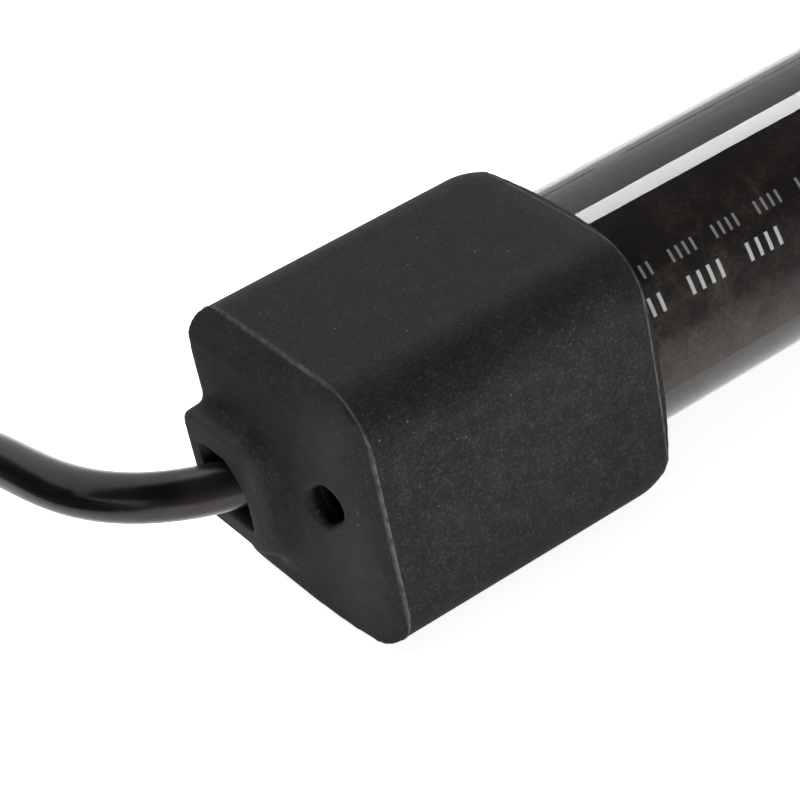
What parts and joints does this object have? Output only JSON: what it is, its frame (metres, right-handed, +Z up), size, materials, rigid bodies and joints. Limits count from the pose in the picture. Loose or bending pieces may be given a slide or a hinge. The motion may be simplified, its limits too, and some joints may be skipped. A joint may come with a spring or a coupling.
{
  "type": "submersible aquarium heater",
  "caption": "Submersible tubular heater: a sealed quartz tube with thermostat and element, square rubber end guards, and a mains cord with plug.",
  "frame": {"origin": "centre of the footprint of the heater without its cord, on the surface it rests on", "axes": "+X along the tube from the cord end to the tip, +Y to the side that the cord nozzle is on, +Z up"},
  "size_m": [0.4223, 0.0905, 0.0356],
  "materials": {
    "guard_rubber": "matte black silicone rubber with fine dust",
    "quartz": "clear fused quartz, polished",
    "label_film": "black printed film inside the tube",
    "silicone": "translucent cream silicone",
    "seal_rubber": "black seal rubber",
    "cord_jacket": "glossy black cord jacket and moulded plug",
    "mica": "pressed mica board",
    "ceramic": "unglazed steatite ceramic",
    "steel": "plated steel",
    "spring_brass": "bright brass",
    "bimetal": "dull grey resistance alloy",
    "lamp_glass": "small neon lamp glass",
    "wire_brown": "brown wire sleeving",
    "wire_blue": "blue wire sleeving"
  },
  "bodies": {
    "heater": {"cord_guard": "guard_rubber", "quartz_tube": "quartz", "label_sleeve": "label_film", "end_plug": "silicone", "seal_rings": "seal_rubber", "cord_gland": "cord_jacket", "cord_inner": "cord_jacket", "plug_disc": "mica", "thermostat_frame": "ceramic", "arm_pivot": "steel", "fixed_contact": "steel", "bimetal_strip": "bimetal", "snap_magnet": "steel", "adjusting_screw": "spring_brass", "indicator_lamp": "lamp_glass", "thermal_fuse": "steel", "live_wire": "wire_brown", "neutral_wire": "wire_blue", "core_disc": "mica", "ceramic_core": "ceramic", "heating_coil": "bimetal", "return_rod": "steel", "end_disc": "mica", "tip_pad": "silicone", "cord_run": "cord_jacket", "cord_coil": "cord_jacket", "cord_tail": "cord_jacket", "coil_tie": "seal_rubber", "plug_relief": "cord_jacket", "plug_body": "cord_jacket", "plug_pins": "spring_brass"},
    "tip_guard": {"tip_guard": "guard_rubber"},
    "contact_arm": {"contact_arm": "spring_brass", "moving_contact": "steel"}
  },
  "joints": [
    {"name": "tip_guard_slide", "type": "slide", "parent": "heater", "child": "tip_guard", "axis": [1, 0, 0], "range_m": [0, 0.036]},
    {"name": "contact_arm_hinge", "type": "hinge", "parent": "heater", "child": "contact_arm", "pos_m": [-0.0937, 0, 0.0178], "axis": [0, -1, 0], "range_deg": [-0.5, 3], "stiffness_Nm_per_rad": 0.2}
  ]
}
